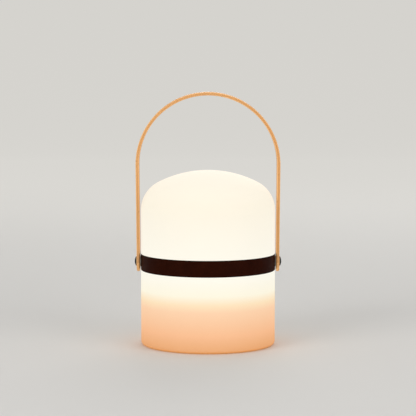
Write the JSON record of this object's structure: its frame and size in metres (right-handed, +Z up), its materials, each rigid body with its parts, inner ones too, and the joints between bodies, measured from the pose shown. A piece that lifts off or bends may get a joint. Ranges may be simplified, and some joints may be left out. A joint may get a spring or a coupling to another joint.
{
  "type": "lantern table lamp",
  "caption": "Portable lantern table lamp: an opal dome and cup joined behind a dark band, with a swinging bent-wood carrying handle and a battery light module.",
  "frame": {"origin": "on the surface that the foot pads stand on, under the middle of the lamp", "axes": "+Z up through the dome's top, X along the handle's pivot axis, -Y towards the front"},
  "size_m": [0.164, 0.1502, 0.2823],
  "materials": {
    "opal_shade": "opal, satin, lit from inside",
    "opal_cup": "opal, satin, lit from inside, dimmer below the light board",
    "dark_band": "smooth, very dark brown, satin",
    "bamboo": "bent laminated strip, fine straight grain, satin lacquer",
    "pale_nylon": "natural nylon",
    "spring_steel": "plain",
    "black_steel": "black oxide, satin",
    "brass": "turned",
    "rubber": "matt",
    "white_plastic": "fine moulded texture",
    "button_plastic": "soft matt",
    "black_plastic": "moulded",
    "screw_steel": "zinc plated",
    "nickel": "nickel plated",
    "green_board": "solder mask",
    "white_board": "white solder mask",
    "led_phosphor": "yellow phosphor under clear resin",
    "opal_lens": "opal, satin, lit from inside",
    "cell_wrap": "shrink sleeve",
    "red_lead": "insulated wire",
    "black_lead": "insulated wire",
    "aluminium": "plain sheet"
  },
  "bodies": {
    "lamp": {"dome_shade": "opal_shade", "base_cup": "opal_cup", "seam_gasket": "rubber", "band": "dark_band", "spacer_left": "pale_nylon", "spacer_right": "pale_nylon", "friction_washer_left": "spring_steel", "friction_washer_right": "spring_steel", "pivot_screw_left": "black_steel", "pivot_screw_right": "black_steel", "pivot_insert_left": "brass", "pivot_insert_right": "brass", "bottom_cover": "white_plastic", "cover_gasket": "rubber", "cover_screws": "screw_steel", "foot_pads": "rubber", "button_spring": "spring_steel", "button_switch": "black_plastic", "charge_socket": "nickel", "control_board": "green_board", "board_parts": "black_plastic", "board_screws": "screw_steel", "battery_cradle": "white_plastic", "cradle_screws": "screw_steel", "battery_cell_front": "cell_wrap", "battery_cell_rear": "cell_wrap", "battery_clips": "pale_nylon", "battery_tab_positive": "nickel", "battery_tab_negative": "nickel", "battery_lead_red": "red_lead", "battery_lead_black": "black_lead", "led_lead_red": "red_lead", "led_lead_black": "black_lead", "module_drum": "white_plastic", "heat_spreader": "aluminium", "led_board": "white_board", "leds": "led_phosphor", "led_screws": "screw_steel", "led_cover": "opal_lens"},
    "handle": {"handle": "bamboo", "pivot_bush_left": "pale_nylon", "pivot_bush_right": "pale_nylon"},
    "button": {"power_button": "button_plastic"}
  },
  "joints": [
    {"name": "handle_swing", "type": "hinge", "parent": "lamp", "child": "handle", "pos_m": [0, 0, 0.0932], "axis": [1, 0, 0], "range_deg": [-115, 115]},
    {"name": "button_press", "type": "slide", "parent": "lamp", "child": "button", "axis": [0, 0, 1], "range_m": [0, 0.0008], "stiffness_N_per_m": 600, "springref_m": -0.0015, "deforming": ["button_spring"]}
  ]
}
